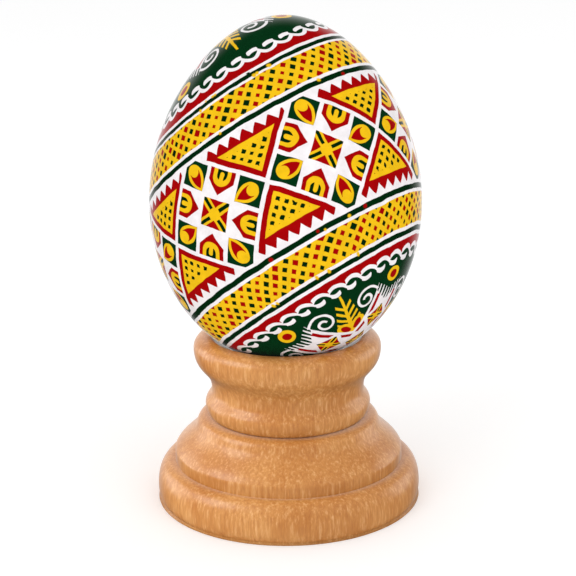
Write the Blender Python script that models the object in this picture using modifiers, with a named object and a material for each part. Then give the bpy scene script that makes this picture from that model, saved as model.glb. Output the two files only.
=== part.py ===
"""A painted Easter egg resting, pointed end up, in a turned wooden egg stand.

Everything is turned round the Z axis. The origin is at the middle of the stand's underside, and the
sizes are real ones: a hen's egg 44 mm across, in a stand about 44 mm across the foot.
"""
import math

import bpy
from mathutils import Vector
from mathutils.geometry import interpolate_bezier

MM = 0.001

# The egg: widest below its middle, with the slimmer end up
EGG_WIDTH = 44.0 * MM
EGG_UPPER = 29.94 * MM
EGG_LOWER = 26.45 * MM
EGG_WIDEST_Z = 50.06 * MM
EGG_SLIMMING = 0.128

# The stand's cup: a round-nosed hollow inside a rounded rim. The egg rests just inside the rim, on a
# ring this far below its widest, as an angle on its lower ellipse. In this stand a "run" is how far
# the outline holds its heading beside a named point before it bends towards the next one
REST_ANGLE = math.radians(56.0)
REST_GAP = 0.3 * MM
HOLLOW_FLOOR_Z = 22.6 * MM
MOUTH_RUN = 0.14 * MM
RIM_TOP_RADIUS = 13.1 * MM
RIM_TOP_Z = 28.05 * MM
RIM_INNER_RUN = 0.3 * MM
CUP_RADIUS = 15.57 * MM
CUP_WIDEST_Z = 26.0 * MM
CUP_LOWER_RUN = 3.8 * MM

# The neck and the bead under it
NECK_RADIUS = 12.72 * MM
NECK_Z = 19.03 * MM
NECK_UPPER_RUN = 3.6 * MM
NECK_LOWER_RUN = 1.2 * MM
BEAD_RADIUS = 13.8 * MM
BEAD_WIDEST_Z = 16.35 * MM
BEAD_UPPER_RUN = 1.2 * MM
BEAD_LOWER_RUN = 0.9 * MM
GROOVE_RADIUS = 12.98 * MM
GROOVE_Z = 14.39 * MM
GROOVE_INNER_RUN = 0.36 * MM
GROOVE_OUTER_RUN = 2.2 * MM

# The bell: a round shoulder, a shallow valley, and a flare that ends in an upright edge
SHOULDER_RADIUS = 15.5 * MM
SHOULDER_Z = 12.5 * MM
SHOULDER_STEEPNESS = 2.0
SHOULDER_UPPER_RUN = 0.9 * MM
SHOULDER_LOWER_RUN = 1.5 * MM
BELL_RADIUS = 19.12 * MM
BELL_EDGE_Z = 8.25 * MM
BELL_RUN = 1.2 * MM
BELL_FOOT_Z = 6.66 * MM

# The foot: a quarter round, a nearly upright side and a softened bottom edge
STEP_RUN = 1.8 * MM
FOOT_RADIUS = 22.12 * MM
FOOT_WIDEST_Z = 2.2 * MM
FOOT_UPPER_RUN = 3.1 * MM
FOOT_LOWER_RUN = 1.2 * MM
UNDERSIDE_RADIUS = 21.3 * MM
UNDERSIDE_RUN = 0.5 * MM

# Facets
STEPS_ROUND = 48
EGG_RINGS = 28
HOLLOW_RINGS = 6
STAND_FACET = 0.65 * MM
SHARP_ANGLE = math.radians(35.0)
MERGE_DISTANCE = 0.01 * MM

# A quarter circle's handle length, as a share of its radius
QUARTER = 0.5523


def clear_scene():
    for obj in list(bpy.data.objects):
        bpy.data.objects.remove(obj, do_unlink=True)


def new_collection(name):
    collection = bpy.data.collections.new(name)
    bpy.context.scene.collection.children.link(collection)
    return collection


def new_material(name, colour, roughness, metallic=0.0):
    material = bpy.data.materials.new(name)
    material.use_nodes = True
    shader = material.node_tree.nodes["Principled BSDF"]
    shader.inputs["Base Color"].default_value = (*colour, 1.0)
    shader.inputs["Roughness"].default_value = roughness
    shader.inputs["Metallic"].default_value = metallic
    material.diffuse_color = (*colour, 1.0)
    return material


def sweep(start, start_heading, start_run, end, end_heading, end_run):
    """Points of one smooth stretch of outline, without its first point. Each point is (radius, z)."""
    count = math.ceil((end - start).length / STAND_FACET)
    corners = (start, start + start_heading.normalized() * start_run,
               end - end_heading.normalized() * end_run, end)
    return [point.copy() for point in interpolate_bezier(*corners, count + 1)[1:]]


def turned(name, outline, material, collection):
    """A solid of revolution from an outline that runs from the top of the axis to its bottom."""
    mesh = bpy.data.meshes.new(name)
    edges = [(i, i + 1) for i in range(len(outline) - 1)]
    mesh.from_pydata([(radius, 0.0, z) for radius, z in outline], edges, [])
    obj = bpy.data.objects.new(name, mesh)
    obj.data.materials.append(material)
    collection.objects.link(obj)

    screw = obj.modifiers.new("Turn", "SCREW")
    screw.axis = "Z"
    screw.angle = math.tau
    screw.steps = STEPS_ROUND
    screw.render_steps = STEPS_ROUND
    screw.use_merge_vertices = True
    screw.merge_threshold = MERGE_DISTANCE
    screw.use_smooth_shade = True
    return obj


def bake_turning(obj):
    """Turn the screw into plain faces, shaded smooth except at real edges."""
    evaluated = obj.evaluated_get(bpy.context.evaluated_depsgraph_get())
    mesh = bpy.data.meshes.new_from_object(evaluated)
    obj.modifiers.clear()
    obj.data = mesh
    mesh.shade_smooth()
    mesh.set_sharp_from_angle(angle=SHARP_ANGLE)


def egg_outline():
    """From the tip down to the blunt end: an ellipse whose upper half is slimmed."""
    points = []
    for ring in range(EGG_RINGS + 1):
        angle = math.pi / 2 - math.pi * ring / EGG_RINGS
        rise = math.sin(angle)
        half_length = EGG_UPPER if rise > 0 else EGG_LOWER
        slimming = EGG_SLIMMING * rise ** 2 if rise > 0 else 0.0
        radius = EGG_WIDTH / 2 * math.cos(angle) * (1 - slimming)
        points.append((max(radius, 0.0), EGG_WIDEST_Z + half_length * rise))
    points[0] = (0.0, EGG_WIDEST_Z + EGG_UPPER)
    points[-1] = (0.0, EGG_WIDEST_Z - EGG_LOWER)
    return points


def hollow_mouth():
    """The hollow's edge, as (radius, z): REST_GAP off the egg, square to its surface."""
    across, down = math.cos(REST_ANGLE), math.sin(REST_ANGLE)
    half_width = EGG_WIDTH / 2
    normal = Vector((across / half_width, -down / EGG_LOWER)).normalized()
    touch = Vector((half_width * across, EGG_WIDEST_Z - EGG_LOWER * down))
    return touch + REST_GAP * normal


def hollow_outline():
    """The cup's hollow, from its middle out to its edge: part of a sphere a little tighter than the egg."""
    mouth = hollow_mouth()
    depth = mouth.y - HOLLOW_FLOOR_Z
    sphere = (mouth.x ** 2 + depth ** 2) / (2 * depth)
    reach = math.asin(mouth.x / sphere)
    points = []
    for ring in range(HOLLOW_RINGS + 1):
        angle = reach * ring / HOLLOW_RINGS
        rise = sphere * (1 - math.cos(angle))
        points.append(Vector((sphere * math.sin(angle), HOLLOW_FLOOR_Z + rise)))
    return points


def stand_outline():
    """From the hollow's middle over the rim, down the outside and back to the axis underneath."""
    rim = Vector((RIM_TOP_RADIUS, RIM_TOP_Z))
    cup = Vector((CUP_RADIUS, CUP_WIDEST_Z))
    neck = Vector((NECK_RADIUS, NECK_Z))
    bead = Vector((BEAD_RADIUS, BEAD_WIDEST_Z))
    groove = Vector((GROOVE_RADIUS, GROOVE_Z))
    shoulder = Vector((SHOULDER_RADIUS, SHOULDER_Z))
    edge = Vector((BELL_RADIUS, BELL_EDGE_Z))
    bell_foot = Vector((BELL_RADIUS, BELL_FOOT_Z))
    foot = Vector((FOOT_RADIUS, FOOT_WIDEST_Z))
    underside = Vector((UNDERSIDE_RADIUS, 0.0))

    out, down, inward = Vector((1, 0)), Vector((0, -1)), Vector((-1, 0))
    slope = Vector((1, -SHOULDER_STEEPNESS))
    rim_outer_run = QUARTER * (cup.x - rim.x)
    cup_upper_run = QUARTER * (rim.y - cup.y)

    points = hollow_outline()
    points += sweep(points[-1], Vector((1, 1)), MOUTH_RUN, rim, out, RIM_INNER_RUN)
    points += sweep(rim, out, rim_outer_run, cup, down, cup_upper_run)
    points += sweep(cup, down, CUP_LOWER_RUN, neck, down, NECK_UPPER_RUN)
    points += sweep(neck, down, NECK_LOWER_RUN, bead, down, BEAD_UPPER_RUN)
    points += sweep(bead, down, BEAD_LOWER_RUN, groove, inward, GROOVE_INNER_RUN)
    points += sweep(groove, out, GROOVE_OUTER_RUN, shoulder, slope, SHOULDER_UPPER_RUN)
    points += sweep(shoulder, slope, SHOULDER_LOWER_RUN, edge, down, BELL_RUN)
    points.append(bell_foot)
    points += sweep(bell_foot, out, STEP_RUN, foot, down, FOOT_UPPER_RUN)
    points += sweep(foot, down, FOOT_LOWER_RUN, underside, inward, UNDERSIDE_RUN)
    points.append(Vector((0.0, 0.0)))
    return points


def build_egg(collection):
    lacquer = new_material("egg_lacquer", (0.055, 0.16, 0.08), 0.12)
    return turned("egg", egg_outline(), lacquer, collection)


def build_stand(collection):
    wood = new_material("turned_wood", (0.55, 0.30, 0.13), 0.35)
    return turned("stand", stand_outline(), wood, collection)


def main():
    clear_scene()
    collection = new_collection("painted_easter_egg_on_stand")
    for obj in (build_egg(collection), build_stand(collection)):
        bake_turning(obj)


main()
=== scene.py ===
# %% [markdown]
# # A painted Easter egg in a turned wooden stand
#
# This lesson dresses a small folk-art object. A lathe-turned wooden stand holds an egg that was painted by
# hand: rings of red, white, green and yellow run round a tilted axis, with a belt of eight-pointed stars
# between two nets. The exact solids come from a packed frame. Here each gets a finer mesh and its finish.
#
# The frame is loaded first. The finer meshes have to stay inside it.

# %% Load the frame
import math
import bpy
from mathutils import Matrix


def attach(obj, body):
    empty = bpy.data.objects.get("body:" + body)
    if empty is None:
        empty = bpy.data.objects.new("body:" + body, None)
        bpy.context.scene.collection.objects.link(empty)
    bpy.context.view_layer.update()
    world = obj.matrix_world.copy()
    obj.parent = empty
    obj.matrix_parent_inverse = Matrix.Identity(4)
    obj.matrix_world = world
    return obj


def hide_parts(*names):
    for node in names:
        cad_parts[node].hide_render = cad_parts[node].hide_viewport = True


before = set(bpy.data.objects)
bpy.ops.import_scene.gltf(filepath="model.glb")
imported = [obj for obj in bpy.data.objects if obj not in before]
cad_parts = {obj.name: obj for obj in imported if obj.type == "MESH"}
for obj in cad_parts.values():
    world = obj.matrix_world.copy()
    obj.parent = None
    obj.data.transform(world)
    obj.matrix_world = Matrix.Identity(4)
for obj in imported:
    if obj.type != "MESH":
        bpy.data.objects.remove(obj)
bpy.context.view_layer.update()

from types import SimpleNamespace

import bmesh
import bpy
import numpy as np
from mathutils import Matrix, Vector

MM = 0.001
print("nodes in the frame:", sorted(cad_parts))

# %% [markdown]
# ## The camera
#
# The camera could be placed by eye. Here its place was worked out from the object: the stand's turned rings
# look like flat ellipses, and how flat they are at each height gives the camera's height, distance and lens.
# It stands in front, a little above the egg, and leans very slightly to one side.

# %% Camera
EYE = Vector((0.23, -222.0, 97.2)) * MM
LOOK_DOWN = math.radians(15.48)
LEAN = math.radians(-0.65)
VIEW_ACROSS = math.radians(23.25)


def place_camera():
    lens = bpy.data.cameras.new("camera")
    lens.angle = VIEW_ACROSS
    lens.clip_start = 10 * MM
    camera = bpy.data.objects.new("camera", lens)
    level = Matrix.Rotation(math.radians(90) - LOOK_DOWN, 4, "X")
    camera.matrix_world = Matrix.Translation(EYE) @ level @ Matrix.Rotation(LEAN, 4, "Z")
    bpy.context.scene.collection.objects.link(camera)
    bpy.context.scene.camera = camera
    return camera


camera = place_camera()
print("camera at (mm):", [round(v / MM, 1) for v in camera.location])

# %% [markdown]
# ## Shader sums as Python
#
# A painted pattern needs a lot of arithmetic on the surface. Wiring Math nodes by hand hides the formula, so
# a small class wraps a socket: an ordinary Python sum on two wires adds the Math node that does it. Each
# operator also has its reflected form, so that a plain number may come first, as in 1 - mask.

# %% The wire
def operator(operation, swapped=False):
    """A method that sends a wire and something else through one Math node."""
    def through_node(wire, other):
        return wire.finish.sum(operation, *((other, wire) if swapped else (wire, other)))
    return through_node


class Wire:
    """A value, vector or colour on its way through a material."""

    def __init__(self, finish, socket):
        self.finish = finish
        self.socket = socket

    def apply(self, operation, *others, clamp=False):
        return self.finish.sum(operation, self, *others, clamp=clamp)

    __add__, __radd__ = operator("ADD"), operator("ADD", swapped=True)
    __sub__, __rsub__ = operator("SUBTRACT"), operator("SUBTRACT", swapped=True)
    __mul__, __rmul__ = operator("MULTIPLY"), operator("MULTIPLY", swapped=True)
    __truediv__, __rtruediv__ = operator("DIVIDE"), operator("DIVIDE", swapped=True)
    __pow__, __rpow__ = operator("POWER"), operator("POWER", swapped=True)

    def __neg__(self):
        return self.apply("MULTIPLY", -1.0)

    def __abs__(self):
        return self.apply("ABSOLUTE")


print("a wire's own sums:", sorted(name for name in vars(Wire) if name.startswith("__r")))


# %% [markdown]
# Any other node comes from one method, which takes its type, its settings and what goes into its sockets. A
# colour or a vector takes a Mix or a Vector Math node, because a Math node would turn it grey.

# %% The finish
class Finish:
    """The nodes of one material, or of the world round the object."""

    def __init__(self, name, world=False):
        self.made = (bpy.data.worlds if world else bpy.data.materials).new(name)
        self.made.use_nodes = True
        self.tree = self.made.node_tree
        self.shader = self.tree.nodes["Background" if world else "Principled BSDF"]

    def node(self, kind, settings=None, sockets=None, out=0):
        made = self.tree.nodes.new("ShaderNode" + kind)
        for name, value in (settings or {}).items():
            setattr(made, name, value)
        for key, value in (sockets or {}).items():
            self.feed(made.inputs[key], value)
        return Wire(self, made.outputs[out])

    def feed(self, socket, value):
        if isinstance(value, Wire):
            self.tree.links.new(value.socket, socket)
        else:
            socket.default_value = value

    def set(self, **sockets):
        for name, value in sockets.items():
            self.feed(self.shader.inputs[name.replace("_", " ")], value)

    def sum(self, operation, *values, clamp=False):
        return self.node("Math", {"operation": operation, "use_clamp": clamp}, dict(enumerate(values)))

    def vector(self, operation, *values, out=0):
        return self.node("VectorMath", {"operation": operation}, dict(enumerate(values)), out)

    def place(self):
        """The point of the surface, in the object's own metres."""
        return self.node("TexCoord", out=3)

    def noise(self, where, size, detail=2.0, roughness=0.5, out=0):
        """Soft noise whose blobs are about this size, from 0 to 1."""
        sockets = {"Vector": where, "Scale": 1 / size, "Detail": detail, "Roughness": roughness}
        return self.node("TexNoise", None, sockets, out)

    def remap(self, value, start, end, low=0.0, high=1.0, how="LINEAR"):
        """low up to where the value is start, high from where it is end, and even or smooth between."""
        sockets = {"Value": value, 1: start, 2: end, 3: low, 4: high}
        return self.node("MapRange", {"interpolation_type": how}, sockets)

    def bump(self, height, strength, depth):
        return self.node("Bump", None, {"Strength": strength, "Distance": depth, "Height": height})

    def over(self, under, paint, mask):
        """Lay paint over what is under it, where the mask is 1."""
        return self.node("Mix", {"data_type": "RGBA"}, {0: mask, 6: under, 7: paint}, out=2)


print("a finish can:", [name for name in vars(Finish) if not name.startswith("_")])

# %% [markdown]
# Masks come from distances. A shape is described by a number that is negative inside it and positive outside,
# in millimetres. The smaller of two such numbers joins two shapes, the larger keeps what they share, and a
# minus sign turns a shape inside out. A brush leaves an edge that is a few hundredths of a millimetre soft.

# %% Distances and masks
BRUSH_EDGE = 0.05
ROOT_TWO = math.sqrt(2)


def smallest(first, *others):
    for other in others:
        first = first.apply("MINIMUM", other)
    return first


def largest(first, *others):
    for other in others:
        first = first.apply("MAXIMUM", other)
    return first


def fraction(wire):
    return wire.apply("FRACT")


def hypot(first, second):
    square = second.apply("MULTIPLY_ADD", second, first * first)
    return square.apply("SQRT")


def from_nearest(wire):
    """How far a count is from the nearest whole number."""
    return abs(fraction(wire + 0.5) - 0.5)


def inside(distance, edge=BRUSH_EDGE):
    """1 inside a shape and 0 outside it."""
    return distance.apply("MULTIPLY_ADD", -1.0 / edge, 0.5, clamp=True)


def rgb(red, green, blue):
    """A colour given as it looks on a screen, turned into the light it stands for."""
    screen = [level / 255 for level in (red, green, blue)]
    light = [c / 12.92 if c <= 0.04045 else ((c + 0.055) / 1.055) ** 2.4 for c in screen]
    return (*light, 1.0)


print("a middle grey on the screen gives off this share of white's light:", round(rgb(128, 128, 128)[0], 3))

# %% [markdown]
# ## The stand
#
# The real stand was turned on a lathe, so one outline describes all of it. The packed solid already holds
# that outline: the points of its mesh that lie in one half plane. They are read from there, joined by a
# smooth curve, and turned again in much finer steps. So the stand can't drift from the solid. Where the
# solid has a real corner, such as the upright edge of the bell, the curve is broken and stays crisp. The
# flat underside is one face with no point in its middle, so that point is added at the end.

# %% Read the stand's outline
NEAR = 1e-6
SAME_PLACE_DIGITS = 6


def read_outline(node):
    """The (radius, z) points of a turned node, from the middle of its top to the middle of its underside."""
    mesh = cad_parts[node].data
    half_plane = {}
    for vertex in mesh.vertices:
        if abs(vertex.co.y) < NEAR and vertex.co.x > -NEAR:
            half_plane[vertex.index] = tuple(round(v, SAME_PLACE_DIGITS) for v in (vertex.co.x, vertex.co.z))
    beside = {point: set() for point in half_plane.values()}
    for first, second in (edge.vertices for edge in mesh.edges):
        if first in half_plane and second in half_plane and half_plane[first] != half_plane[second]:
            beside[half_plane[first]].add(half_plane[second])
            beside[half_plane[second]].add(half_plane[first])
    order = [max((point for point in beside if point[0] < NEAR), key=lambda point: point[1])]
    onward = beside[order[0]]
    while onward:
        order.append(onward.pop())
        onward = {point for point in beside[order[-1]] if point not in order}
    order.append((0.0, order[-1][1]))
    return [Vector(point) for point in order]


stand_points = read_outline("stand")
print("points on the stand's outline:", len(stand_points))

# %% [markdown]
# Between its corners the outline is drawn again as a curve, in short steps. The curve passes through every
# point, and its direction there comes from the points on either side, so it needs no handles.

# %% Smooth the outline
FINE_STEP = 0.22 * MM
CORNER_TURN = math.radians(38.0)


def is_corner(before, point, after):
    return (point - before).angle(after - point) > CORNER_TURN


def curve_point(before, start, end, after, s):
    """The point this share of the way from start to end."""
    bend = (2 * before - 5 * start + 4 * end - after) * s ** 2
    bend += (3 * start - before - 3 * end + after) * s ** 3
    return (2 * start + (end - before) * s + bend) / 2


def smooth_outline(points):
    """The outline in fine steps, smooth everywhere but at its corners, and the places of its corners."""
    sharp = {0, len(points) - 1}
    sharp |= {i for i in range(1, len(points) - 1) if is_corner(points[i - 1], points[i], points[i + 1])}
    fine, corners = [points[0]], []
    for i in range(len(points) - 1):
        start, end = points[i], points[i + 1]
        before = start * 2 - end if i in sharp else points[i - 1]
        after = end * 2 - start if i + 1 in sharp else points[i + 2]
        count = max(1, round((end - start).length / FINE_STEP))
        fine += [curve_point(before, start, end, after, k / count) for k in range(1, count + 1)]
        if i + 1 in sharp:
            corners.append(len(fine) - 1)
    return fine, corners


stand_outline, stand_corners = smooth_outline(stand_points)
widest = max(point.x for point in stand_points)
stand_outline = [Vector((min(point.x, widest), max(point.y, 0.0))) for point in stand_outline]
corner_places = [tuple(round(v / MM, 2) for v in stand_outline[index]) for index in stand_corners]
print("corners at radius, z (mm):", corner_places)

# %% [markdown]
# A Screw modifier could turn the outline. Turning it point by point is as short, and lets the corners be
# marked as sharp edges on the way, so that smooth shading stops there.

# %% Turn the outline
STAND_STEPS = 240


def turn(name, outline, corners, steps):
    """Turn an outline round the Z axis into a closed mesh whose corners are sharp edges."""
    shape = bmesh.new()
    rings = []
    for radius, z in outline:
        if radius < NEAR:
            rings.append([shape.verts.new((0, 0, z))])
            continue
        angles = (math.tau * step / steps for step in range(steps))
        rings.append([shape.verts.new((radius * math.cos(a), radius * math.sin(a), z)) for a in angles])
    for upper, lower in zip(rings, rings[1:]):
        for k in range(steps):
            n = (k + 1) % steps
            around = ((upper, k), (lower, k), (lower, n), (upper, n))
            shape.faces.new(dict.fromkeys(ring[step % len(ring)] for ring, step in around))
    for index in corners[:-1]:
        for k in range(steps):
            shape.edges.get((rings[index][k], rings[index][(k + 1) % steps])).smooth = False
    return finish_piece(shape, name)


def finish_piece(shape, name):
    """Shade it smooth and put it in the scene."""
    for face in shape.faces:
        face.smooth = True
    mesh = bpy.data.meshes.new(name)
    shape.to_mesh(mesh)
    shape.free()
    piece = bpy.data.objects.new(name, mesh)
    bpy.context.scene.collection.objects.link(piece)
    return piece


stand = turn("turned_stand", stand_outline, stand_corners, STAND_STEPS)
print("stand:", len(stand.data.polygons), "faces")

# %% [markdown]
# ## The egg
#
# The egg is an ellipse turned round the upright axis, its upper half a little slimmer. The painter's rings,
# though, run round an axis of their own that leans back and to the left. A mesh of upright rings would cut
# across them, so this mesh is built in the painter's frame. Each of its rows lies at one height along the
# leaning axis, and each point is pushed out from that axis until it meets the egg's surface. The rings can
# then be painted with materials that change exactly between two rows.

# %% The egg's shape, in mm
EGG_WIDTH = 44.0
EGG_UPPER = 29.94
EGG_LOWER = 26.45
EGG_WIDEST_Z = 50.06
EGG_SLIMMING = 0.128
SURELY_OUTSIDE = 36.0
HALVINGS = 40


def outside_egg(points):
    """Above 0 outside the egg and below 0 inside it, for points in millimetres."""
    rise = points[..., 2] - EGG_WIDEST_Z
    share = rise / np.where(rise > 0, EGG_UPPER, EGG_LOWER)
    slimming = np.where(rise > 0, EGG_SLIMMING * share ** 2, 0.0)
    radius = EGG_WIDTH / 2 * np.sqrt(np.clip(1 - share ** 2, 0, 1)) * (1 - slimming)
    reach = np.hypot(points[..., 0], points[..., 1]) - radius
    return np.where(np.abs(share) > 1, np.abs(rise), reach)


def push_out(starts, directions):
    """From points inside the egg, go in these directions to its surface, halving the gap each time."""
    near = np.zeros(starts.shape[:-1])
    far = np.full(starts.shape[:-1], SURELY_OUTSIDE)
    for _ in range(HALVINGS):
        middle = (near + far) / 2
        still_in = outside_egg(starts + middle[..., None] * directions) < 0
        near = np.where(still_in, middle, near)
        far = np.where(still_in, far, middle)
    return starts + near[..., None] * directions


print("egg's length (mm):", round(EGG_UPPER + EGG_LOWER, 2))

# %% [markdown]
# The painter's frame: AXIS is the leaning axis, HEART is the point of it that the star belt runs round, and
# SIDE and BACK are the directions across it. FIRST_CROSSING is the angle at which one star meets the next.
# All were measured from the rings and the star belt, which shows three of its seven stars' worth of turning.

# %% The painter's frame
AXIS = np.array((-0.4959, 0.3154, 0.8091))
SIDE = np.array((0.5367, 0.8438, 0.0))
BACK = np.cross(AXIS, SIDE)
HEART = np.array((0.161, -0.785, 50.465))
FIRST_CROSSING = math.radians(249.37)
STARS = 7
COLUMNS = STARS * 48

# Heights along the axis, in mm: where one painted zone ends and the next begins
CAP_EDGES = (-15.5, 17.17)
BELT_EDGES = (-8.15, 9.9)
ROW_STEP = 0.34


def across(angles):
    """The directions out from the leaning axis at these angles."""
    return np.sin(angles)[:, None] * SIDE - np.cos(angles)[:, None] * BACK


def rows_between(low, high):
    count = round((high - low) / ROW_STEP)
    return [low + (high - low) * k / count for k in range(count)]


round_angles = math.tau * np.arange(COLUMNS) / COLUMNS
spokes = across(FIRST_CROSSING + round_angles)
edges = (CAP_EDGES[0], *BELT_EDGES, CAP_EDGES[1])
heights = [h for low, high in zip(edges, edges[1:]) for h in rows_between(low, high)] + [CAP_EDGES[1]]
print("side and back are square to the axis:", round(float(AXIS @ SIDE), 4), round(float(AXIS @ BACK), 4))
print("rows between the caps:", len(heights))

# %% [markdown]
# A hand that turns an egg while it paints doesn't keep to even rings: they wander up and down by a part of a
# millimetre, and the stars come a little early or late. Even rings would be simpler, but they would miss the
# photographed ones by several pixels. So this drift is described by a smooth formula with few numbers. Each
# measure has three lines: what holds all round, what goes with the sine of the turn, and what goes with its
# cosine. The three numbers of a line are its steady part, its slope and its bend along the axis. Past the
# heights where it could be measured, the drift stays as it is at the last of them.

# %% The painter's drift
DRIFT_TURN = ((-0.0179, -0.0173, 0.0), (0.0297, 0.0211, 0.0), (0.0035, 0.0098, 0.0))
DRIFT_HEIGHT = ((-0.3759, -0.1577, 0.2333), (-0.031, 0.0262, -0.0772), (0.6175, 0.2125, -0.3766))
DRIFT_REACH = (-12.8, 17.6)
DRIFT_UNIT = 10.0


def drift(measures, height, sine, cosine):
    """How far the painted pattern lies from an even one, for numbers or for wires."""
    share = height * (1 / DRIFT_UNIT)
    lines = [share * share * bend + share * slope + steady for steady, slope, bend in measures]
    return lines[0] + lines[1] * sine + lines[2] * cosine


def lifted_row(height):
    """The heights of a row's points once the drift has moved them."""
    held = min(max(height, DRIFT_REACH[0]), DRIFT_REACH[1])
    return height + drift(DRIFT_HEIGHT, held, np.sin(round_angles), np.cos(round_angles))


wander = [np.ptp(lifted_row(height)) for height in edges]
print("how far the zones' edges wander up and down (mm):", [round(float(w), 2) for w in wander])

# %% [markdown]
# Near its two ends a plane square to the leaning axis only grazes the egg, so rows of equal height run out
# there. The caps are closed another way: their rings shrink evenly from the last row to the end of the axis,
# and each is pushed out along rays from the egg's heart.

# %% Build the egg
CAP_ROWS = 26


def band_row(height):
    return push_out(HEART + lifted_row(height)[:, None] * AXIS, spokes)


def axis_end(sign):
    """Where the leaning axis comes out of the egg."""
    return push_out(HEART[None], sign * AXIS[None])[0]


def cap_row(last_row, end, share):
    """A ring this share of the way from the last row to the axis's end."""
    targets = last_row * (1 - share) + end * share
    rays = targets - HEART
    rays /= np.linalg.norm(rays, axis=-1, keepdims=True)
    return push_out(np.repeat(HEART[None], COLUMNS, axis=0), rays)


def build_egg():
    shares = [k / CAP_ROWS for k in range(1, CAP_ROWS)]
    rows = [band_row(height) for height in heights]
    ends = axis_end(-1), axis_end(1)
    lower = [cap_row(rows[0], ends[0], share) for share in reversed(shares)]
    upper = [cap_row(rows[-1], ends[1], share) for share in shares]
    shape = bmesh.new()
    rings = [[shape.verts.new(point * MM) for point in row] for row in lower + rows + upper]
    tips = [shape.verts.new(end * MM) for end in ends]
    zone_starts = [len(lower) + heights.index(edge) for edge in edges]
    for index, (below, above) in enumerate(zip(rings, rings[1:])):
        zone = sum(index >= start for start in zone_starts)
        for k in range(COLUMNS):
            n = (k + 1) % COLUMNS
            shape.faces.new((below[k], below[n], above[n], above[k])).material_index = zone
    for tip, ring, zone in ((tips[0], rings[0], 0), (tips[1], rings[-1], len(edges))):
        for k in range(COLUMNS):
            shape.faces.new((tip, ring[k], ring[(k + 1) % COLUMNS])).material_index = zone
    bmesh.ops.recalc_face_normals(shape, faces=shape.faces)
    return finish_piece(shape, "painted_egg")


egg = build_egg()
print("egg:", len(egg.data.polygons), "faces, zones:", sorted({f.material_index for f in egg.data.polygons}))

# %% [markdown]
# ## The paints
#
# The whole egg is painted in opaque colours under one clear, glossy lacquer. The colours are given as they
# look on a screen and turned into light values. A brushed colour is never quite even, so each is made a
# little lighter and darker by soft noise, and pigment that lies thicker stands up under the lacquer. The
# lacquer is the shader's coat. The paint beneath it has no gloss of its own, which would turn it grey.

# %% Paints and lacquer
WHITE = rgb(242, 237, 239)
RED = rgb(161, 3, 6)
YELLOW = rgb(239, 190, 24)
GREEN = rgb(3, 48, 20)
DARK_GREEN = rgb(0, 36, 10)

STREAK_SIZE = 1.6 * MM
STREAK_RANGE = (0.3, 0.7)
STREAK_SHADES = (0.9, 1.06)
PIGMENT_STANDS_UP = (0.12, 0.05 * MM)
PIGMENT_ROUGHNESS = 0.45
LACQUER_ROUGHNESS = 0.06
LACQUER_IOR = 1.3


def lacquered(finish, colour, place):
    """The last layers of every painted zone: uneven pigment, then clear lacquer over it."""
    streaks = finish.noise(place, STREAK_SIZE, detail=4.0, roughness=0.6)
    shade = finish.remap(streaks, *STREAK_RANGE, *STREAK_SHADES)
    uneven = finish.node("VectorMath", {"operation": "SCALE"}, {0: colour, "Scale": shade})
    relief = finish.bump(streaks, *PIGMENT_STANDS_UP)
    finish.set(Base_Color=uneven, Roughness=PIGMENT_ROUGHNESS, Normal=relief, Specular_IOR_Level=0.0)
    finish.set(Coat_Weight=1.0, Coat_Roughness=LACQUER_ROUGHNESS, Coat_IOR=LACQUER_IOR)
    return finish.made


# %% [markdown]
# Every pattern starts from two numbers: the height along the leaning axis, and the turn round it, counted in
# stars. Both come from dot products with the painter's frame. The point is first nudged by soft noise, as the
# hand that held the brush was not quite steady, and then the drift is taken out, so that the patterns below
# can be drawn as if they were even. Seven is a whole number of stars, so no pattern has a seam.

# %% Height and turn
UNSTEADY = 0.4 * MM
UNSTEADY_SIZE = 2.6 * MM


def angle_of(sideways, backward):
    """The angle round the leaning axis, measured as across() measures it."""
    return sideways.apply("ARCTAN2", -backward)


def painter_place(finish):
    """A point as the painter sees it: its distances along the side and the back in mm, then its place in an
    even pattern, as the turn in stars and the height in mm."""
    place = finish.place()
    shake = finish.noise(place, UNSTEADY_SIZE, out=1)
    centre = tuple(-HEART * MM - UNSTEADY / 2)
    shaken = finish.vector("MULTIPLY_ADD", shake, (UNSTEADY,) * 3, centre)
    point = finish.vector("ADD", place, shaken)
    side, back, height = (finish.vector("DOT_PRODUCT", point, tuple(way / MM), out=1)
                          for way in (SIDE, BACK, AXIS))
    angle = angle_of(side, back) - FIRST_CROSSING
    sine, cosine = angle.apply("SINE"), angle.apply("COSINE")
    held = largest(smallest(height, DRIFT_REACH[1]), DRIFT_REACH[0])
    stars = angle * (STARS / math.tau) + STARS - drift(DRIFT_TURN, held, sine, cosine)
    even_height = height - drift(DRIFT_HEIGHT, held, sine, cosine)
    return SimpleNamespace(point=place, side=side, back=back, turn=stars, height=even_height)


print("the brush strays by up to (mm):", UNSTEADY / 2 / MM)

# %% [markdown]
# ## The star belt
#
# Each cell of the belt is a square standing on its corner, with white lines for edges. In it lie four dark
# green diamonds with yellow drops, four red pieces with yellow horseshoes, and a small red diamond with a
# yellow cross. The white left between them makes the eight-pointed star. The cell is its own mirror image
# four ways, so absolute values fold it onto one eighth, and each motif is drawn only once.

# %% The cell's measures, in mm from its middle
CELL = 20.2
HALF_CELL = CELL / 2
EDGE_LINE = (0.31, 0.54)

SIDE_DIAMOND = 6.85
SIDE_DIAMOND_HALF = 2.85
DROP_TIP = 4.05
DROP_LENGTHS = (2.6, 1.8)
DROP_HALF_WIDTH = 1.42
DROP_EYE = (7.3, 0.85)
DROP_MARGIN = 0.5
DROP_OVERLAP = 0.1

RED_PIECE_CORNER = 2.1
RED_PIECE_HALF = 3.05
SHOE = (5.85, 1.5)
SHOE_HOLLOW = (6.1, 0.88)
SHOE_TONGUE = (6.25, 0.36)

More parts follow.
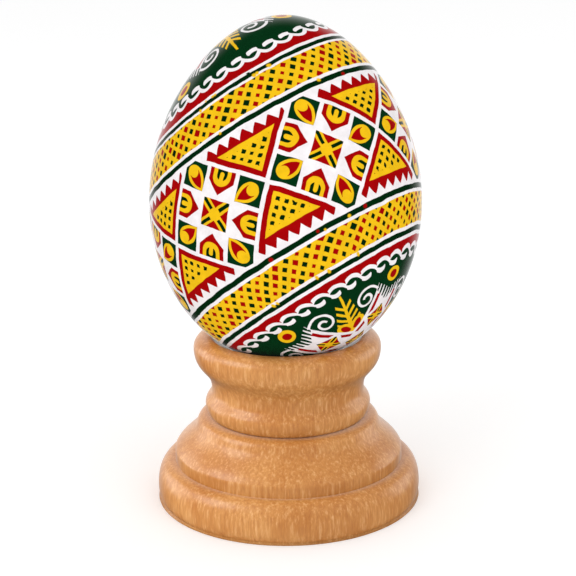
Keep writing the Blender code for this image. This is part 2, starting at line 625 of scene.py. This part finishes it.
CENTRE_HALF = 3.12
CROSS_HALF = 0.68
STROKE_HALF = 0.28
STROKE_START = 0.95
print("round the belt (mm):", STARS * CELL)


# %% [markdown]
# The horseshoe is three round-ended bars laid on each other. The drop is part of a parabola on its pointed
# side and half an ellipse on its round one. Its red heart is the same drop, smaller, less a round bite.

# %% The motifs of a cell
def capsule(along, across_it, end, radius, onward=True):
    """A round-ended bar that starts at this end, as a distance."""
    past = smallest(along - end, 0.0) if onward else largest(along - end, 0.0)
    return hypot(past, across_it) - radius


def crossed_diamond(finish, colour, far, near, half):
    """A red diamond with a yellow cross and dark strokes, from distances folded onto one eighth of it."""
    size = half / CENTRE_HALF
    diamond = far + near - half
    colour = finish.over(colour, RED, inside(diamond))
    colour = finish.over(colour, YELLOW, inside(largest(near - CROSS_HALF * size, diamond)))
    stroke = largest(near - STROKE_HALF * size, STROKE_START * size - far, diamond)
    return finish.over(colour, DARK_GREEN, inside(stroke))


def horseshoe_piece(finish, colour, near, both, lean_gap, cell):
    """A red piece on a slanting line of the cell, with a horseshoe that opens outwards."""
    piece = largest(RED_PIECE_CORNER - near, lean_gap - RED_PIECE_HALF, cell)
    colour = finish.over(colour, RED, inside(piece))
    out, off = both / ROOT_TWO, lean_gap / ROOT_TWO
    colour = finish.over(colour, YELLOW, inside(largest(capsule(out, off, *SHOE), piece)))
    hollow = capsule(out, off, *SHOE_HOLLOW)
    tongue = capsule(out, off, *SHOE_TONGUE, onward=False)
    return finish.over(colour, DARK_GREEN, inside(largest(hollow, -tongue, cell)))


def drop_diamond(finish, colour, far, near, cell):
    """A green diamond in a corner of the cell, with a drop that points to the middle."""
    diamond = largest(abs(far - SIDE_DIAMOND) + near - SIDE_DIAMOND_HALF, cell)
    colour = finish.over(colour, GREEN, inside(diamond))
    run = far - (DROP_TIP + DROP_LENGTHS[0])
    to_tip = smallest(run, 0.0) / DROP_LENGTHS[0]
    point = near - DROP_HALF_WIDTH * (1.0 - to_tip * to_tip)
    round_end = hypot(largest(run, 0.0) * (DROP_HALF_WIDTH / DROP_LENGTHS[1]), near) - DROP_HALF_WIDTH
    colour = finish.over(colour, YELLOW, inside(largest(point, round_end)))
    eye = hypot(far - DROP_EYE[0], near) - DROP_EYE[1]
    heart = largest(point + DROP_MARGIN, -eye, far - DROP_EYE[0] + DROP_OVERLAP)
    return finish.over(colour, RED, inside(heart))


def star_cell(finish, x, y, colour):
    ax, ay = abs(x), abs(y)
    far, near, both = largest(ax, ay), smallest(ax, ay), ax + ay
    cell = both - (HALF_CELL - EDGE_LINE[0])
    colour = horseshoe_piece(finish, colour, near, both, abs(ax - ay), cell)
    colour = drop_diamond(finish, colour, far, near, cell)
    return crossed_diamond(finish, colour, far, near, CENTRE_HALF)


# %% [markdown]
# Between the stars the belt is filled with red triangles, point to point at each crossing. Each has a yellow
# field with small dark squares, and a comb of red teeth along its long side. The squares stand on their
# corners, so they are drawn on a slanting lattice, where a square is simply a range of two numbers. Noise
# that is read once for each square makes one a little larger than the next.

# %% Triangles and combs
TRIANGLE_BORDER = 1.18
TRIANGLE_TOP = 6.9
TRIANGLE_END = 7.45
COMB_VALLEY = 7.5
COMB_DEPTH = 1.3
COMB_TEETH = 9
COMB_BULGE = 1.2
COMB_PHASE = (0.38, 0.015)
COMB_DROP = 0.1

SQUARE_SPACING = 0.925
SQUARE_ROWS = (3.0, 0.88)
SQUARE_LAST = 3.6
SQUARE_HALF = 0.245
SQUARE_UNEVEN = 0.07
SQUARE_EDGE = 0.04
CHANCE_SCALE = 2.3
CHANCE_SPREAD = 3.0
CHANCE_LEAN = 0.3


def uneven_half(finish, first, second, half, amount):
    """Half a square's side, a little different from one square to the next."""
    where = finish.node("CombineXYZ", None, {0: first, 1: second})
    sockets = {"Vector": where, "Scale": CHANCE_SCALE, "Detail": 0.0}
    chance = finish.node("TexNoise", {"noise_dimensions": "2D"}, sockets)
    return (chance - 0.5) * (amount * CHANCE_SPREAD) + half


def small_squares(finish, colour, turn_round, sideways, y):
    """Dark squares in a triangle, counted in slanting rows from its point."""
    column = sideways / SQUARE_SPACING
    row = (abs(y) - SQUARE_ROWS[0]) / SQUARE_ROWS[1]
    rising, falling = (row + column) / 2, (row - column) / 2 + 0.5
    half = uneven_half(finish, turn_round + row * CHANCE_LEAN, y, SQUARE_HALF, SQUARE_UNEVEN)
    square = largest(from_nearest(rising), abs(fraction(falling) - 0.5)) - half
    square = largest(square, -falling, row - SQUARE_LAST)
    return finish.over(colour, DARK_GREEN, inside(square, SQUARE_EDGE))


def triangles(finish, turn_round, x, y, colour):
    depth = HALF_CELL + EDGE_LINE[1] - (abs(x) + abs(y))
    sideways = HALF_CELL - abs(x)
    phase = fraction(turn_round * COMB_TEETH + COMB_PHASE[0] - y * COMB_PHASE[1]) * 2.0 - 1.0
    tooth = 1.0 - abs(phase) ** COMB_BULGE
    comb = abs(y + COMB_DROP) - COMB_VALLEY - COMB_DEPTH * tooth
    colour = finish.over(colour, RED, inside(largest(depth, comb, sideways - TRIANGLE_END)))
    field = largest(depth + TRIANGLE_BORDER, abs(y) - TRIANGLE_TOP)
    colour = finish.over(colour, YELLOW, inside(field))
    return small_squares(finish, colour, turn_round, sideways, y)


print("comb teeth round the egg:", COMB_TEETH * STARS)

# %% [markdown]
# The whole belt is one material. The turn's fraction and the height give the place in a cell.

# %% Paint the star belt
BELT_MIDDLE = 0.95
BELT_INSIDE = (-8.0, 9.62)


def beyond(value, span):
    """How far a value lies past the ends of a span, and below 0 between them."""
    return abs(value - sum(span) / 2) - (span[1] - span[0]) / 2


def paint_star_belt():
    finish = Finish("star_belt_paint")
    here = painter_place(finish)
    x = (fraction(here.turn) - 0.5) * CELL
    y = here.height - BELT_MIDDLE
    colour = triangles(finish, here.turn, x, y, WHITE)
    colour = star_cell(finish, x, y, colour)
    colour = finish.over(WHITE, colour, inside(beyond(here.height, BELT_INSIDE)))
    return lacquered(finish, colour, here.point)


star_belt = paint_star_belt()
print("star belt nodes:", len(star_belt.node_tree.nodes))

# %% [markdown]
# ## The nets
#
# Above and below the belt runs a yellow net with red and green squares, between thin white and green lines.
# Two sets of slanting rows cross, and a square sits where two rows meet. The squares of one colour follow one
# another along a falling row, so that row's number, odd or even, picks the colour. An even number of falling
# rows brings the colours out right where the ring closes. The rows sway a little, as a hand does.

# %% Slanting rows
NET_SQUARE_HALF = 0.262
NET_SQUARE_UNEVEN = 0.09
NET_SQUARE_EDGE = 0.05


def slanting_row(here, square, row, count, shift, sways, reach, start):
    """The number of the row that a point lies in, with a fraction that is 0.5 in the row's middle. square is
    the turn and height of one square's middle, row is the rows' spacing in mm, count is how many rows there
    are round the egg, and the last three say how often, how far and from where the rows sway."""
    sway = here.turn * (sways * math.tau / STARS) + start
    rise = (here.height - square[1]) / (2 * row) + here.turn * (count / STARS)
    return rise + sway.apply("SINE") * reach - shift - square[0] * (count / STARS) + 0.5


def net_squares(finish, here, square, row, rising_rows, falling_rows):
    rows = [slanting_row(here, square, row, *measures) for measures in (rising_rows, falling_rows)]
    numbers = [number.apply("FLOOR") for number in rows]
    half = uneven_half(finish, *numbers, NET_SQUARE_HALF, NET_SQUARE_UNEVEN)
    cell = largest(*(abs(fraction(number) - 0.5) for number in rows)) - half
    is_red = fraction(numbers[1] * 0.5) * 2.0
    squares = finish.over(DARK_GREEN, RED, is_red)
    return finish.over(YELLOW, squares, inside(cell, NET_SQUARE_EDGE))



# %% [markdown]
# The brush slipped in places: yellow from the net runs onto the white line, and a dot of red or green stands
# on a line of another colour. They are part of how the egg looks, so the ones that show most are put back,
# each by its turn in stars, its height and its radius in mm.

# %% Slips of the brush
SLIP_EDGE = 0.2
LOWER_SLIPS = (
    (YELLOW, ((0.38, -14.52, 0.3), (0.43, -14.5, 0.25), (0.915, -14.42, 0.3), (1.06, -14.5, 0.32),
              (1.424, -14.38, 0.3), (1.211, -9.22, 0.2), (1.458, -9.05, 0.26))),
    (RED, ((0.681, -9.0, 0.32), (1.149, -8.9, 0.22), (1.63, -8.85, 0.3))),
)
UPPER_SLIPS = (
    (YELLOW, ((0.771, 16.2, 0.26), (1.34, 16.2, 0.3), (1.37, 16.24, 0.26), (1.487, 16.45, 0.32),
              (0.854, 11.0, 0.22), (1.734, 10.95, 0.26), (0.861, 17.1, 0.18), (0.94, 17.1, 0.26),
              (0.965, 17.08, 0.24))),
    (RED, ((1.96, 10.44, 0.28),)),
    (DARK_GREEN, ((1.31, 17.0, 0.25),)),
)


def slips(finish, colour, paint, here, star_length, places):
    point = finish.node("CombineXYZ", None, {0: here.turn * star_length, 1: here.height})
    gaps = [finish.vector("DISTANCE", point, (turn * star_length, rise, 0.0), out=1) - radius
            for turn, rise, radius in places]
    return finish.over(colour, paint, inside(smallest(*gaps), SLIP_EDGE))


print("slips:", sum(len(places) for _, places in LOWER_SLIPS + UPPER_SLIPS))


# %% [markdown]
# Both nets are one function with different measures. Rings near the egg's ends are shorter, so each net says
# how long a star is there, and the slips come out round.

# %% Paint the nets
def paint_net(name, net, green_lines, star_length, slip_places, **squares):
    finish = Finish(name)
    here = painter_place(finish)
    colour = net_squares(finish, here, **squares)
    colour = finish.over(WHITE, colour, inside(beyond(here.height, net)))
    for span in green_lines:
        colour = finish.over(colour, DARK_GREEN, inside(beyond(here.height, span)))
    for paint, places in slip_places:
        colour = slips(finish, colour, paint, here, star_length, places)
    return lacquered(finish, colour, here.point)


lower_net = paint_net(
    "lower_net_paint", net=(-14.1, -9.8), green_lines=((-9.3, -8.5), (-15.22, -14.55)), star_length=17.0,
    slip_places=LOWER_SLIPS, square=(0.896, -12.01), row=0.9, rising_rows=(56, 0.131, 6, 0.1, 3.73),
    falling_rows=(-64, -0.195, 4, 0.3, 1.963))
upper_net = paint_net(
    "upper_net_paint", net=(11.5, 15.9), green_lines=((10.2, 11.0), (16.28, 16.93)), star_length=16.0,
    slip_places=UPPER_SLIPS, square=(1.494, 15.12), row=0.96, rising_rows=(64, -0.384, 3, 0.3, 0.785),
    falling_rows=(-70, 0.383, 3, 0.2, 4.712))
print("net nodes:", len(lower_net.node_tree.nodes), len(upper_net.node_tree.nodes))


# %% [markdown]
# ## The caps
#
# Each end of the egg is a green cap inside a red ring. The ring's inner edge is a running scroll: a white
# line of arcs that meet in cusps, with a hook that curls back from each. It is an old border that is drawn in
# one go round the egg. Here the turn round the cap is cut into waves, and a wave is drawn with two curves.
# The arc's line gets wider towards its ends, and the hook ends round, as a full brush leaves them.

# %% Running scroll
def running_scroll(wave, rise, length, arc, hook):
    """The distance from the white line, and from the red paint on the belt's side of it. wave runs from one
    cusp to the next, rise is the height past the cusps, and length is a wave's length in the same mm. arc is
    its lowest height, its bend, its middle, half its line's width and what that gains at its ends. hook is
    its top, its bend, where its top is and where it ends, both in mm before the cusp, and half its line's
    width."""
    low, bend, middle, half, gain = arc
    from_middle = wave - middle
    square = from_middle * from_middle
    arc_rise = square * bend + low
    line = abs(rise - arc_rise) - (square * gain + half)
    top, bow, crest, end, half_hook = hook
    back = (wave - 1.0) * length
    bowed = top - (back + crest) * (back + crest) * bow
    curl = hypot(smallest(back + end, 0.0), rise - bowed) - half_hook
    return smallest(line, curl), rise - arc_rise


def scroll_round(here, sign, middle, waves, first_cusp, cusps, **wave_shape):
    """The running scroll round a cap, its waves counted by the angle round the cap's middle."""
    angle = angle_of(here.side - middle[0], here.back - middle[1])
    wave = fraction((angle - math.radians(first_cusp)) * (sign * waves / math.tau))
    return running_scroll(wave, here.height * sign - cusps, **wave_shape)



# %% [markdown]
# A cross of four white arms fills the cap, with a branch between every two of them and a dot beyond each. The
# arms and branches mirror one another, so the angle round the cap's middle is folded onto half of one arm.
# After that only two numbers are left: how far out along the arm a point lies, and how far off its middle.

# %% Arms of the cap
ARM_HALF = 2.9
ARM_START = 3.0
NOTCH = (8.7, 0.58)
COMB_STROKES = (0.74, 0.2, 0.07)
COMB_TIP = (10.5, 0.35)
BAR = (2.0, 0.33)
BAR_RUN = (6.2, 3.6)
ARM_DIAMOND = (5.65, 2.3)
ARM_DIAMOND_SLIM = 1.12
DIAMOND_MARGIN = 2.95


def white_arm(finish, colour, out, off):
    """An arm of the cross: notched at its end, with a comb of strokes, two red bars and a diamond."""
    spacing, half, taper = COMB_STROKES
    notch = off * NOTCH[1] + NOTCH[0]
    arm = largest(off - ARM_HALF, out - notch)
    stroke = from_nearest(off / spacing) * spacing + (out - notch) * taper - half
    stroke = largest(stroke, out - COMB_TIP[0] - off * COMB_TIP[1], off - ARM_HALF, ARM_START - out)
    colour = finish.over(colour, WHITE, inside(smallest(arm, stroke)))
    gap = abs(out - ARM_DIAMOND[0])
    bar = largest(abs(off - BAR[0]) - BAR[1], abs(out - BAR_RUN[0]) - BAR_RUN[1])
    bars = largest(bar, DIAMOND_MARGIN - gap - off)
    colour = finish.over(colour, RED, inside(bars))
    slim = off * ARM_DIAMOND_SLIM
    return crossed_diamond(finish, colour, largest(gap, slim), smallest(gap, slim), ARM_DIAMOND[1])


print("length of an arm's diamond (mm):", 2 * ARM_DIAMOND[1])

# %% [markdown]
# The spirals beside the arms get narrower by the same share with each turn. On such a spiral the logarithm of
# the radius falls evenly with the turn, so the nearest winding is found by rounding.

# %% Spirals
SPIRAL_HEART = (9.05, 4.25)
SPIRAL_RADIUS = 2.17
SPIRAL_START = 0.121
SPIRAL_TURNS = 1.42
SPIRAL_HALF = 0.19


def spiral(out, off):
    """The distance from a spiral that starts at the arm's corner and winds inwards. Each turn brings it in
    by one step of the natural logarithm."""
    x, y = out - SPIRAL_HEART[0], off - SPIRAL_HEART[1]
    radius = hypot(x, y)
    turned = y.apply("ARCTAN2", x) * (1 / math.tau) + SPIRAL_START
    inwards = -(radius / SPIRAL_RADIUS).apply("LOGARITHM", math.e)
    along = turned + (inwards - turned).apply("ROUND")
    gap = abs(inwards - along) * radius
    ends = abs(along - SPIRAL_TURNS / 2) - SPIRAL_TURNS / 2
    return largest(gap - SPIRAL_HALF, ends * radius * math.tau)


print("the spiral's last radius (mm):", round(SPIRAL_RADIUS * math.exp(-SPIRAL_TURNS), 2))

# %% [markdown]
# Between two arms grows a yellow branch, with needles on both sides and two red-hearted buds at its foot. Its
# needles are slanting lines at even steps, kept near the stem, and its stem gets thinner towards the tip.

# %% Branch and dot
BRANCH_RUN = (3.8, 12.7)
STEM_HALF = (0.52, 0.028)
NEEDLE_LAST = 10.0
NEEDLE_SPACING = 1.33
NEEDLE_HALF = 0.21
NEEDLE_REACH = (1.2, 0.16)
NEEDLE_STEPS = (-0.4, 4.4)
BRANCH_BUD_FOOT = 4.1
BRANCH_BUD_LEAN = math.radians(27.0)
BRANCH_BUD = (1.9, 1.61, 1.15)
BRANCH_BUD_HEART = (2.0, 2.09, 0.55)
DOT_SHAPE = (1.08, 1.45)
DOT_HEART = 0.55


def branch(finish, colour, along, across_it):
    """A yellow branch along the line that halves the angle between two arms."""
    stem = largest(across_it + along * STEM_HALF[1] - STEM_HALF[0], beyond(along, BRANCH_RUN))
    to_last = NEEDLE_LAST - (along - across_it)
    step = to_last / NEEDLE_SPACING
    needle = from_nearest(step) * (NEEDLE_SPACING / ROOT_TWO) - NEEDLE_HALF
    reach = NEEDLE_REACH[0] + to_last * NEEDLE_REACH[1]
    needle = largest(needle, across_it - reach, beyond(step, NEEDLE_STEPS))
    colour = finish.over(colour, YELLOW, inside(smallest(stem, needle)))

    forward, aside = math.cos(BRANCH_BUD_LEAN), math.sin(BRANCH_BUD_LEAN)
    past = along - BRANCH_BUD_FOOT
    lengthwise = past * forward + across_it * aside
    crosswise = across_it * forward - past * aside
    for paint, (middle, slimness, half) in ((YELLOW, BRANCH_BUD), (RED, BRANCH_BUD_HEART)):
        oval = hypot((lengthwise - middle) / slimness, crosswise) - half
        colour = finish.over(colour, paint, inside(oval))
    return colour


def dot(finish, colour, out, off, distance):
    """A yellow oval with a red heart, this far out beyond an arm."""
    oval = hypot((out - distance) / DOT_SHAPE[0], off / DOT_SHAPE[1])
    colour = finish.over(colour, YELLOW, inside(oval - 1.0))
    return finish.over(colour, RED, inside(oval - DOT_HEART))


print("needles on a branch's side:", 1 + math.floor(NEEDLE_STEPS[1]))


# %% [markdown]
# A real cap's arms don't stand quite square to one another, and its dots aren't all equally far out. A small
# sine of the angle evens the arms, and one side's dots are drawn nearer. Then the angle is folded, by its
# distance from the nearest of four quarter turns.

# %% The cross of a cap
def cap_cross(finish, here, middle, size, stretch, arm_angle, uneven, dot_out, dot_nearer):
    """Everything inside the scroll. middle is where the cross has its middle along the side and the back,
    size scales it, and stretch makes it longer along the back."""
    b = (here.side - middle[0]) / size
    c = (here.back - middle[1]) / (size * stretch)
    angle = angle_of(b, c)
    tilt = (angle - math.radians(arm_angle + 45)).apply("SINE")
    evened = angle - math.radians(arm_angle) - (tilt + math.sin(math.radians(45))) * uneven
    folded = from_nearest(evened * (2 / math.pi)) * (math.pi / 2)
    radius = hypot(b, c)
    out = radius * folded.apply("COSINE")
    off = radius * folded.apply("SINE")

    colour = branch(finish, GREEN, (out + off) / ROOT_TWO, (out - off) / ROOT_TWO)
    colour = white_arm(finish, colour, out, off)
    colour = crossed_diamond(finish, colour, out, off, ARM_DIAMOND[1])
    colour = finish.over(colour, WHITE, inside(spiral(out, off)))
    nearer = largest(-c / radius, 0.0) * dot_nearer
    return dot(finish, colour, out, off, dot_out - nearer)




# %% [markdown]
# Both caps are one function with different measures. Heights count away from the belt, so sign is 1 for the
# upper cap and -1 for the lower. The red ring and the white line on the belt's side are laid over the cross.

# %% Paint the caps
def paint_cap(name, sign, middle, white_edge, cross, scroll):
    finish = Finish(name)
    here = painter_place(finish)
    colour = cap_cross(finish, here, middle, **cross)
    line_gap, red_gap = scroll_round(here, sign, middle, **scroll)
    colour = finish.over(colour, RED, inside(red_gap))
    colour = finish.over(colour, WHITE, inside(smallest(line_gap, here.height * sign - white_edge)))
    return lacquered(finish, colour, here.point)


lower_cap = paint_cap(
    "lower_cap_paint", sign=-1, middle=(-1.0, 1.54), white_edge=15.7,
    cross={"size": 1.0, "stretch": 1.0, "arm_angle": -100.8, "uneven": 0.12, "dot_out": 12.5,
           "dot_nearer": 0.0},
    scroll={"waves": 30, "first_cusp": -67.5, "cusps": 17.43, "length": 4.71,
            "arc": (-0.7, 2.2, 0.6, 0.26, 0.1), "hook": (0.54, 0.12, 1.5, 2.6, 0.3)})
upper_cap = paint_cap(
    "upper_cap_paint", sign=1, middle=(1.4, -4.1), white_edge=17.42,
    cross={"size": 1.08, "stretch": 1.1, "arm_angle": -99.2, "uneven": 0.0, "dot_out": 12.3,
           "dot_nearer": 1.3},
    scroll={"waves": 36, "first_cusp": -53.0, "cusps": 18.88, "length": 3.37,
            "arc": (-0.12, 3.2, 0.5, 0.26, 0.72), "hook": (1.24, 0.13, 1.0, 1.95, 0.35)})
print("cap nodes:", len(lower_cap.node_tree.nodes), len(upper_cap.node_tree.nodes))

# %% [markdown]
# ## The wood
#
# The stand is a light, close-grained wood, turned with its fibres upright and finished with a satin varnish.
# A picture wrapped round it would stretch. A solid texture is cut by the surface instead, as real wood is:
# the same thin upright fibres show as streaks on the steep sides and as dots where the surface lies flatter.
# The tree's middle lies outside the stand, so its yearly rings are seen only as faint bands.

# %% Wood
PALE_WOOD = rgb(208, 147, 82)
WARM_WOOD = rgb(186, 118, 52)
FIBRE_WOOD = rgb(168, 100, 48)
SILKY_WOOD = rgb(240, 192, 138)

FIBRE_ACROSS = 0.42 * MM
FIBRE_ALONG = 3.6 * MM
PORE_SIZE = 0.2 * MM
CLOUD_SIZE = 9.0 * MM
PITH = (31.0, 22.0, 0.0)
PITH_LEAN = 0.06
RING_SPACING = 1.9
RING_WANDER = 1.5
RING_TINT = (0.25, -0.1)

# Each range: where the noise starts and stops to count, and how much of the colour it lays on
WARM_RANGE = (0.35, 0.65, 0.15, 0.85)
DARK_RANGE = (0.48, 0.74, 0.0, 0.62)
SILKY_RANGE = (0.26, 0.48, 0.5, 0.0)
PORE_RANGE = (0.62, 0.75, 0.0, 0.4)

FIBRE_STANDS_UP = (0.35, 0.05 * MM)
WOOD_ROUGHNESS = (0.2, 0.32)


def paint_wood():
    finish = Finish("varnished_wood")
    place = finish.place()
    stretched = finish.vector("MULTIPLY", place, (1.0, 1.0, FIBRE_ACROSS / FIBRE_ALONG))
    fibre = finish.noise(stretched, FIBRE_ACROSS, detail=3.0, roughness=0.65)
    pores = finish.noise(stretched, PORE_SIZE, detail=1.0)
    cloud = finish.noise(place, CLOUD_SIZE)

    from_pith = finish.vector("MULTIPLY_ADD", place, (1 / MM, 1 / MM, PITH_LEAN / MM), PITH)
    ring = fraction(finish.vector("LENGTH", from_pith, out=1) / RING_SPACING + cloud * RING_WANDER)
    warm = finish.remap(cloud, *WARM_RANGE) + ring * ring * RING_TINT[0] + RING_TINT[1]
    colour = finish.over(PALE_WOOD, WARM_WOOD, warm.apply("ADD", 0.0, clamp=True))
    colour = finish.over(colour, FIBRE_WOOD, finish.remap(fibre, *DARK_RANGE))
    colour = finish.over(colour, SILKY_WOOD, finish.remap(fibre, *SILKY_RANGE))
    colour = finish.over(colour, FIBRE_WOOD, finish.remap(pores, *PORE_RANGE))

    roughness = fibre * WOOD_ROUGHNESS[0] + WOOD_ROUGHNESS[1]
    finish.set(Base_Color=colour, Roughness=roughness, Normal=finish.bump(fibre, *FIBRE_STANDS_UP))
    finish.set(Coat_Weight=0.8, Coat_Roughness=0.28, Coat_IOR=1.5, Specular_IOR_Level=0.2)
    return finish.made


varnished_wood = paint_wood()
print("wood nodes:", len(varnished_wood.node_tree.nodes))

# %% [markdown]
# ## Floor and light
#
# The ground in the photo is as white as what is behind it, as on a light table. So the floor is a plain white
# sheet with a little light of its own, and it doesn't show in the lacquer.

# %% Floor
FLOOR_SIZE = 6.0
PAPER = (0.9, 0.9, 0.9, 1.0)
PAPER_GLOW = 0.2


def build_floor():
    bpy.ops.mesh.primitive_plane_add(size=FLOOR_SIZE)
    floor = bpy.context.object
    floor.name = "floor"
    paper = Finish("white_paper")
    paper.set(Base_Color=PAPER, Roughness=0.9, Specular_IOR_Level=0.0)
    paper.set(Emission_Color=(1.0, 1.0, 1.0, 1.0), Emission_Strength=PAPER_GLOW)
    floor.data.materials.append(paper.made)
    floor.visible_glossy = False
    return floor


floor = build_floor()
print("floor's width (m):", round(floor.dimensions.x, 1))

# %% [markdown]
# The room's light could be one even white. Then the whole egg would mirror it, and its colours would turn
# pale. In the photo only the edges are pale, where the lacquer is seen at a flat angle and mirrors the bright
# paper behind. So the world has three strengths: white where the camera sees it, even and soft where it
# lights the object, and, where the gloss mirrors it, bright only behind and above.

# %% World
SEEN_WHITE = 1.02
ROOM_LIGHT = 0.86
MIRRORED_FRONT = 0.03
MIRRORED_BEHIND = (0.55, 1.0)
MIRRORED_ABOVE = (-0.75, -0.15)


def build_world():
    world = Finish("studio", world=True)
    direction = world.node("TexCoord", out=0)
    backward = world.node("SeparateXYZ", None, {0: direction}, out=1)
    upward = world.node("SeparateXYZ", None, {0: direction}, out=2)
    behind = world.remap(backward, *MIRRORED_BEHIND, how="SMOOTHSTEP")
    above = world.remap(upward, *MIRRORED_ABOVE, how="SMOOTHSTEP")
    mirrored = behind * above + MIRRORED_FRONT
    seen, glossy = world.node("LightPath"), world.node("LightPath", out=3)
    strength = (mirrored * glossy + (1 - glossy) * ROOM_LIGHT) * (1 - seen) + seen * SEEN_WHITE
    world.set(Color=(1, 1, 1, 1), Strength=strength)
    bpy.context.scene.world = world.made
    return world


world = build_world()
print("world nodes:", len(world.tree.nodes))

# %% [markdown]
# Two large round softboxes light the egg and the stand from the front, the stronger one from the left. They
# are kept out of the lacquer, which shows no lamp in the photo. The varnished wood does show soft gleams, on
# its left and along its edges, so three more lamps light only the stand and may be mirrored in it.

# %% Lamps
EGG_AIM = (0, 0, 0.04)
STAND_AIM = (0, 0, 0.02)


def add_softbox(name, place, aim, size, power, only=None):
    light = bpy.data.lights.new(name, "AREA")
    light.shape = "DISK"
    light.size = size
    light.energy = power
    lamp = bpy.data.objects.new(name, light)
    lamp.location = place
    lamp.rotation_euler = (Vector(aim) - Vector(place)).to_track_quat("-Z", "Y").to_euler()
    lamp.visible_glossy = only is not None
    bpy.context.scene.collection.objects.link(lamp)
    if only:
        lit = bpy.data.collections.new(name + "_lights")
        lit.objects.link(only)
        lamp.light_linking.receiver_collection = lit
    return lamp


lamps = [
    add_softbox("key", (-0.45, -0.50, 0.60), EGG_AIM, size=0.50, power=1.2),
    add_softbox("fill", (0.45, -0.50, 0.45), EGG_AIM, size=0.60, power=0.8),
    add_softbox("gleam", (-0.42, -0.13, 0.30), STAND_AIM, size=0.34, power=1.05, only=stand),
    add_softbox("left_rim", (-0.50, 0.22, 0.12), STAND_AIM, size=0.40, power=0.8, only=stand),
    add_softbox("right_rim", (0.50, 0.22, 0.12), STAND_AIM, size=0.40, power=0.55, only=stand),
]
bpy.context.scene.view_settings.view_transform = "Standard"
print("lamps:", [lamp.name for lamp in lamps])

# %% [markdown]
# ## Hand over
#
# The egg's zones take their paints in the order of their rows, from the lower cap to the upper. Both pieces
# stand for a node of the frame and ride on its one body, since the egg only rests in the stand. The photo
# shows no wood mirrored in the egg, so the stand is kept out of the lacquer as well.

# %% Hand over
for paint in (lower_cap, lower_net, star_belt, upper_net, upper_cap):
    egg.data.materials.append(paint)
stand.data.materials.append(varnished_wood)
stand.visible_glossy = False

for piece, node, slot in ((egg, "egg", "egg_lacquer"), (stand, "stand", "turned_wood")):
    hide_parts(node)
    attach(piece, "root")
